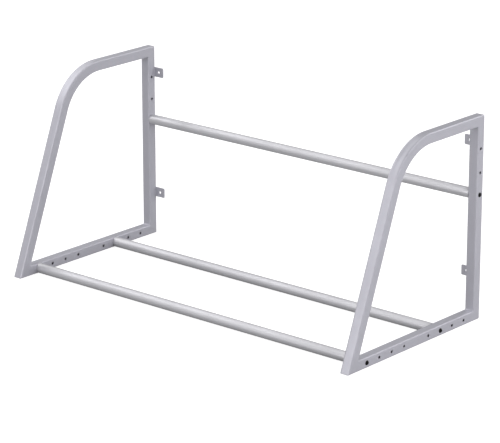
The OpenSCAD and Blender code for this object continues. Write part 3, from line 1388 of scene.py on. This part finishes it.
class Effects:
    """The effects that several finishes share, each a node group made once."""

    DIMPLE_SHARE = 0.8
    FLAKE_BAND = (0.55, 1.0)
    BREAK_BAND = (0.35, 0.7)
    THIN_BAND = (0.25, 0.9)
    SCRATCH_TURNS = (0.5, -0.7)
    SCRATCH_TILT = 0.3
    SCRATCH_STRETCH = 0.06

    def __init__(self) -> None:
        """Builds the groups."""
        self.peel = self._orange_peel()
        self.cloud = self._coat_cloud()
        self.wear = self._edge_wear()
        self.grind = self._grinding()

    def _orange_peel(self) -> bpy.types.NodeTree:
        """Makes the skin of a baked powder coat: soft dimples, with fine grit in between."""
        group, wiring, given, result = shader_group(
            "orange_peel", {"Place": "Vector", "Dimples": "Float", "Grit": "Float"},
            {"Height": "Float"})
        dimple = wiring.noise(given.outputs["Place"], given.outputs["Dimples"], 1.0, 0.4)
        grit = wiring.noise(given.outputs["Place"], given.outputs["Grit"], 2.0, 0.6)
        soft = wiring.ramp(dimple, *MIDDLE_BAND)
        wiring.feed(result.inputs["Height"], wiring.math(
            "ADD", wiring.math("MULTIPLY", soft, self.DIMPLE_SHARE),
            wiring.math("MULTIPLY", grit, 1.0 - self.DIMPLE_SHARE)))
        return group

    def _coat_cloud(self) -> bpy.types.NodeTree:
        """Makes the slow changes of a sprayed coat, and its bright flakes."""
        group, wiring, given, result = shader_group(
            "coat_cloud", {"Place": "Vector", "Clouds": "Float", "Flakes": "Float"},
            {"Cloud": "Float", "Flake": "Float"})
        cloud = wiring.noise(given.outputs["Place"], given.outputs["Clouds"], 3.0, 0.55)
        flakes = wiring.node("ShaderNodeTexVoronoi", Vector=given.outputs["Place"],
                             Scale=given.outputs["Flakes"])
        bright = wiring.node("ShaderNodeSeparateColor", Color=flakes.outputs["Color"])
        wiring.feed(result.inputs["Cloud"], wiring.ramp(cloud, *MIDDLE_BAND))
        wiring.feed(result.inputs["Flake"], wiring.ramp(bright.outputs[0], *self.FLAKE_BAND))
        return group

    def _edge_wear(self) -> bpy.types.NodeTree:
        """Makes the mask of a coat that runs thin over edges, broken up unevenly."""
        group, wiring, given, result = shader_group(
            "edge_wear", {"Place": "Vector", "Edge": "Float", "Breaks": "Float"},
            {"Thin": "Float"})
        breaks = wiring.noise(given.outputs["Place"], given.outputs["Breaks"], 4.0, 0.6)
        spread = wiring.math("MULTIPLY", given.outputs["Edge"],
                             wiring.ramp(breaks, *self.BREAK_BAND))
        wiring.feed(result.inputs["Thin"], wiring.ramp(spread, *self.THIN_BAND))
        return group

    def _grinding(self) -> bpy.types.NodeTree:
        """Makes the faint scratches that a sanding disc leaves under a coat, crossed two ways."""
        group, wiring, given, result = shader_group(
            "disc_grinding", {"Place": "Vector", "Dressed": "Float", "Lines": "Float"},
            {"Height": "Float"})
        heights = []
        for turn in self.SCRATCH_TURNS:
            turned = wiring.node("ShaderNodeMapping", Vector=given.outputs["Place"])
            turned.inputs["Rotation"].default_value = (turn, self.SCRATCH_TILT * turn, 0.0)
            turned.inputs["Scale"].default_value = (1.0, self.SCRATCH_STRETCH, 1.0)
            heights.append(wiring.noise(turned.outputs[0], given.outputs["Lines"], 2.0, 0.6))
        crossed = wiring.math("MULTIPLY", wiring.math("ADD", *heights), 0.5)
        wiring.feed(result.inputs["Height"],
                    wiring.math("MULTIPLY", crossed, given.outputs["Dressed"]))
        return group

    def place(self, wiring: Wiring, group: bpy.types.NodeTree, **inputs: object) -> bpy.types.Node:
        """Places a group in a material and feeds its inputs.

        Args:
            wiring: The material's wiring.
            group: The group.
            **inputs: Values or sockets by input name.

        Returns:
            The group's node.
        """
        node = wiring.tree.nodes.new("ShaderNodeGroup")
        node.node_tree = group
        for name, value in inputs.items():
            wiring.feed(node.inputs[name], value)
        return node


def new_material(name: str) -> tuple[bpy.types.Material, Wiring, bpy.types.Node,
                                     bpy.types.NodeSocket]:
    """Starts a material.

    Args:
        name: The material's name.

    Returns:
        The material, its wiring, its shader and the socket of object places.
    """
    material = bpy.data.materials.new(name)
    material.use_nodes = True
    wiring = Wiring(material.node_tree)
    material.node_tree.nodes.clear()
    shader = wiring.node("ShaderNodeBsdfPrincipled")
    output = wiring.node("ShaderNodeOutputMaterial")
    wiring.feed(output.inputs["Surface"], shader.outputs["BSDF"])
    place = wiring.node("ShaderNodeTexCoord").outputs["Object"]
    return material, wiring, shader, place


def mark(wiring: Wiring, name: str) -> bpy.types.NodeSocket:
    """Reads one of the marks that a piece's points carry, edge or dressed."""
    node = wiring.node("ShaderNodeAttribute")
    node.attribute_name = name
    return node.outputs["Fac"]


def toned(colour: Colour, factor: float) -> Colour:
    """A colour made lighter or darker, but no lighter than white."""
    red, green, blue = (min(1.0, channel * factor) for channel in colour[:3])
    return red, green, blue, 1.0


@dataclass(frozen=True)
class PowderCoat:
    """Baked silver-grey powder coat, on the tubes, lugs, welds and bars."""

    name: str
    colour: Colour
    thin_colour: Colour
    roughness: float = 0.45
    roughness_change: float = 0.08
    thin_roughness: float = 0.06
    metallic: float = 0.4
    coat: float = 0.42
    coat_roughness: float = 0.34
    dimples: float = 620.0
    grit: float = 3200.0
    clouds: float = 9.0
    cloud_tone: float = 0.94
    flakes: float = 2600.0
    flake_tone: float = 1.12
    flake_share: float = 0.35
    breaks: float = 90.0
    thin_share: float = 0.55
    scratches: float = 900.0
    grinding: float = 0.35
    depth: float = 0.035 * MM

    def material(self, effects: Effects) -> bpy.types.Material:
        """Builds the material: clouded paint with flakes, thin on edges, over ground corners.

        Args:
            effects: The shared effects.

        Returns:
            The material.
        """
        material, wiring, shader, place = new_material(self.name)
        peel = effects.place(wiring, effects.peel, Place=place, Dimples=self.dimples,
                             Grit=self.grit)
        cloud = effects.place(wiring, effects.cloud, Place=place, Clouds=self.clouds,
                              Flakes=self.flakes)
        wear = effects.place(wiring, effects.wear, Place=place, Edge=mark(wiring, "edge"),
                             Breaks=self.breaks)
        grind = effects.place(wiring, effects.grind, Place=place,
                              Dressed=mark(wiring, "dressed"), Lines=self.scratches)
        clouded = wiring.mix(cloud.outputs["Cloud"], toned(self.colour, self.cloud_tone),
                             self.colour)
        sparkled = wiring.mix(
            wiring.math("MULTIPLY", cloud.outputs["Flake"], self.flake_share), clouded,
            toned(self.colour, self.flake_tone))
        worn = wiring.mix(wiring.math("MULTIPLY", wear.outputs["Thin"], self.thin_share),
                          sparkled, self.thin_colour)
        wiring.feed(shader.inputs["Base Color"], worn)
        rough = wiring.ramp(cloud.outputs["Cloud"], 0.0, 1.0,
                            self.roughness + self.roughness_change / 2,
                            self.roughness - self.roughness_change / 2)
        rougher = wiring.math("MULTIPLY", wear.outputs["Thin"], self.thin_roughness)
        wiring.feed(shader.inputs["Roughness"], wiring.math("ADD", rough, rougher))
        height = wiring.math("ADD", peel.outputs["Height"],
                             wiring.math("MULTIPLY", grind.outputs["Height"], self.grinding))
        bump = wiring.node("ShaderNodeBump", Height=height, Strength=1.0, Distance=self.depth)
        wiring.feed(shader.inputs["Normal"], bump.outputs["Normal"])
        shader.inputs["Metallic"].default_value = self.metallic
        shader.inputs["Coat Weight"].default_value = self.coat
        shader.inputs["Coat Roughness"].default_value = self.coat_roughness
        return material


@dataclass(frozen=True)
class BlackOxide:
    """Oiled black oxide, on the bolts."""

    name: str = "black_oxide"
    colour: Colour = (0.012, 0.012, 0.014, 1.0)
    stain: Colour = (0.03, 0.028, 0.026, 1.0)
    bare: Colour = (0.16, 0.155, 0.15, 1.0)
    roughness: float = 0.34
    oiled: float = 0.06
    dry: float = 0.08
    metallic: float = 0.7
    breaks: float = 900.0
    clouds: float = 400.0
    flakes: float = 5200.0
    scratches: float = 2600.0
    stain_share: float = 0.5
    bare_share: float = 0.6
    bump: float = 0.6
    depth: float = 0.02 * MM

    def material(self, effects: Effects) -> bpy.types.Material:
        """Builds the material: dark metal, bare on the rubbed edges of head and socket.

        Args:
            effects: The shared effects.

        Returns:
            The material.
        """
        material, wiring, shader, place = new_material(self.name)
        wear = effects.place(wiring, effects.wear, Place=place, Edge=mark(wiring, "edge"),
                             Breaks=self.breaks)
        cloud = effects.place(wiring, effects.cloud, Place=place, Clouds=self.clouds,
                              Flakes=self.flakes)
        grind = effects.place(wiring, effects.grind, Place=place, Dressed=1.0,
                              Lines=self.scratches)
        stained = wiring.mix(
            wiring.math("MULTIPLY", cloud.outputs["Cloud"], self.stain_share), self.colour,
            self.stain)
        rubbed = wiring.mix(wiring.math("MULTIPLY", wear.outputs["Thin"], self.bare_share),
                            stained, self.bare)
        wiring.feed(shader.inputs["Base Color"], rubbed)
        wiring.feed(shader.inputs["Roughness"],
                    wiring.ramp(cloud.outputs["Cloud"], 0.0, 1.0, self.roughness - self.oiled,
                                self.roughness + self.dry))
        bump = wiring.node("ShaderNodeBump", Height=grind.outputs["Height"],
                           Strength=self.bump, Distance=self.depth)
        wiring.feed(shader.inputs["Normal"], bump.outputs["Normal"])
        shader.inputs["Metallic"].default_value = self.metallic
        return material


@dataclass(frozen=True)
class ZincSteel:
    """Turned and zinc-plated steel, on the plugs."""

    name: str = "zinc_steel"
    colour: Colour = (0.52, 0.53, 0.55, 1.0)
    dull: Colour = (0.36, 0.36, 0.37, 1.0)
    roughness: float = 0.32
    smoother: float = 0.08
    rougher: float = 0.1
    metallic: float = 0.95
    clouds: float = 180.0
    flakes: float = 1500.0
    turning: float = 5200.0
    turning_stretch: float = 0.02
    bump: float = 0.7
    depth: float = 0.02 * MM

    def material(self, effects: Effects) -> bpy.types.Material:
        """Builds the material: turning marks across the axis, and dull patches in the plating.

        Args:
            effects: The shared effects.

        Returns:
            The material.
        """
        material, wiring, shader, place = new_material(self.name)
        cloud = effects.place(wiring, effects.cloud, Place=place, Clouds=self.clouds,
                              Flakes=self.flakes)
        turned = wiring.node("ShaderNodeMapping", Vector=place)
        turned.inputs["Scale"].default_value = (1.0, self.turning_stretch, self.turning_stretch)
        lines = wiring.noise(turned.outputs[0], self.turning, 2.0, 0.6)
        wiring.feed(shader.inputs["Base Color"],
                    wiring.mix(cloud.outputs["Cloud"], self.dull, self.colour))
        wiring.feed(shader.inputs["Roughness"],
                    wiring.ramp(lines, *MIDDLE_BAND, self.roughness - self.smoother,
                                self.roughness + self.rougher))
        bump = wiring.node("ShaderNodeBump", Height=lines, Strength=self.bump,
                           Distance=self.depth)
        wiring.feed(shader.inputs["Normal"], bump.outputs["Normal"])
        shader.inputs["Metallic"].default_value = self.metallic
        return material


FRAME_COAT = PowderCoat("frame_powder_coat", (0.47, 0.465, 0.52, 1.0),
                        (0.50, 0.495, 0.545, 1.0))
WELD_COAT = PowderCoat("weld_powder_coat", (0.45, 0.445, 0.50, 1.0), FRAME_COAT.thin_colour,
                       roughness=0.5)
BAR_COAT = PowderCoat("bar_powder_coat", (0.56, 0.555, 0.585, 1.0), (0.60, 0.595, 0.625, 1.0),
                      roughness=0.4, coat=0.3, coat_roughness=0.26, metallic=0.35)


# --------------------------------------------------------------------------------------- studio


@dataclass(frozen=True)
class SoftLight:
    """A square soft box that points at the middle of the rack.

    A box that is not mirrored lights the coats and leaves no glare on them.
    """

    name: str
    azimuth: float
    elevation: float
    distance: float
    size: float
    watts: float
    mirrored: bool = True

    def build(self, aim: np.ndarray) -> None:
        """Hangs the light.

        Args:
            aim: Where it points.
        """
        data = bpy.data.lights.new(self.name, "AREA")
        data.shape = "SQUARE"
        data.size = self.size
        data.energy = self.watts
        lamp = bpy.data.objects.new(self.name, data)
        back = away(self.azimuth, self.elevation)
        lamp.matrix_world = looking(aim + self.distance * back, back)
        lamp.visible_glossy = self.mirrored
        bpy.context.scene.collection.objects.link(lamp)


def away(azimuth: float, elevation: float) -> np.ndarray:
    """Unit vector from the rack towards a viewer; azimuth 0 is the front and 90 the right."""
    a, e = math.radians(azimuth), math.radians(elevation)
    return np.array([math.sin(a) * math.cos(e), -math.cos(a) * math.cos(e), math.sin(e)])


def right_and_up(back: np.ndarray) -> tuple[np.ndarray, np.ndarray]:
    """Level right and the upward way of a camera or light whose back is a unit vector."""
    right = np.cross([0.0, 0.0, 1.0], back)
    right /= np.linalg.norm(right)
    return right, np.cross(back, right)


def looking(place: np.ndarray, back: np.ndarray) -> Matrix:
    """Matrix of a level camera or light at a place, with its back along a unit vector."""
    matrix = np.eye(4)
    matrix[:3] = np.stack([*right_and_up(back), back, place], axis=-1)
    return Matrix(matrix.tolist())


@dataclass(frozen=True)
class Studio:
    """Camera, pale floor, soft boxes and even light from all round.

    The camera looks along azimuth and elevation at the point that is right and up of the origin.
    """

    azimuth: float = 40.392
    elevation: float = 17.559
    distance: float = 7.488
    right: float = 0.02607
    up: float = 0.2205
    lens: float = 185.14
    sensor_width: float = 36.0
    farthest: float = 200.0
    floor_half: float = 30.0
    floor_cells: int = 12
    floor_drop: float = 0.4 * MM
    lights: tuple[SoftLight, ...] = (
        SoftLight("key", 92.0, 13.0, 6.0, 5.4, 470.0, mirrored=False),
        SoftLight("front_fill", -6.0, 9.0, 4.6, 3.8, 124.0),
        SoftLight("left_box", -60.0, 38.0, 4.5, 3.2, 48.0),
        SoftLight("rear_box", -114.0, 46.0, 4.5, 2.6, 26.0),
        SoftLight("left_fill", -85.0, 34.0, 6.0, 4.0, 55.0),
        SoftLight("back_fill", 168.0, 32.0, 6.0, 4.0, 105.0),
    )
    ambient: float = 0.3
    floor_grey: float = 0.33
    floor_lift: float = 0.9

    def camera(self) -> None:
        """Sets the camera."""
        back = away(self.azimuth, self.elevation)
        right, up = right_and_up(back)
        data = bpy.data.cameras.new("camera")
        data.lens = self.lens
        data.sensor_width = self.sensor_width
        data.clip_end = self.farthest
        camera = bpy.data.objects.new("camera", data)
        place = self.right * right + self.up * up + self.distance * back
        camera.matrix_world = looking(place, back)
        bpy.context.scene.collection.objects.link(camera)
        bpy.context.scene.camera = camera

    def floor(self) -> None:
        """Lays the floor: it lights the rack as pale grey, and the camera sees it near white."""
        side = np.linspace(-self.floor_half, self.floor_half, self.floor_cells + 1)
        y, x = np.meshgrid(side, side)
        skin = Skin()
        numbers = skin.lay(np.stack([x, y, np.full_like(x, -self.floor_drop)], axis=-1))
        skin.weave(numbers.T, ring=False)
        floor = skin.make("studio_floor")
        material = bpy.data.materials.new("studio_floor")
        material.use_nodes = True
        wiring = Wiring(material.node_tree)
        material.node_tree.nodes.clear()
        matt = wiring.node("ShaderNodeBsdfDiffuse", Color=toned(WHITE, self.floor_grey))
        glow = wiring.node("ShaderNodeEmission", Color=WHITE)
        seen = wiring.node("ShaderNodeLightPath").outputs["Is Camera Ray"]
        wiring.feed(glow.inputs["Strength"], wiring.math("MULTIPLY", seen, self.floor_lift))
        both = wiring.node("ShaderNodeAddShader")
        wiring.feed(both.inputs[0], matt.outputs[0])
        wiring.feed(both.inputs[1], glow.outputs[0])
        output = wiring.node("ShaderNodeOutputMaterial")
        wiring.feed(output.inputs["Surface"], both.outputs[0])
        floor.data.materials.append(material)

    def surroundings(self) -> None:
        """Fills the room with even light; what the camera sees past the floor is white."""
        world = bpy.data.worlds.new("studio")
        world.use_nodes = True
        wiring = Wiring(world.node_tree)
        world.node_tree.nodes.clear()
        seen = wiring.node("ShaderNodeLightPath").outputs["Is Camera Ray"]
        sky = wiring.node("ShaderNodeBackground", Color=WHITE)
        wiring.feed(sky.inputs["Strength"], wiring.ramp(seen, 0.0, 1.0, self.ambient, 1.0))
        output = wiring.node("ShaderNodeOutputWorld")
        wiring.feed(output.inputs["Surface"], sky.outputs[0])
        bpy.context.scene.world = world

    def build(self) -> None:
        """Sets up the whole studio."""
        self.camera()
        self.floor()
        self.surroundings()
        low, high = cad_bounds
        aim = (np.array(low) + np.array(high)) / 2
        for light in self.lights:
            light.build(aim)
        bpy.context.scene.view_settings.view_transform = "Standard"


def main() -> None:
    """Builds the rack and the studio."""
    logging.basicConfig(level=logging.INFO, format="%(name)s: %(message)s")
    Studio().build()
    effects = Effects()
    frame_coat, weld_coat, bar_coat, zinc, black = (
        finish.material(effects)
        for finish in (FRAME_COAT, WELD_COAT, BAR_COAT, ZincSteel(), BlackOxide()))
    stock = SquareTube()
    for side in Side:
        SideFrame(side, stock).build(frame_coat, weld_coat)
    for bar in Bar:
        CrossBar(bar).build(bar_coat, zinc, black)


if __name__ == "__main__":
    main()
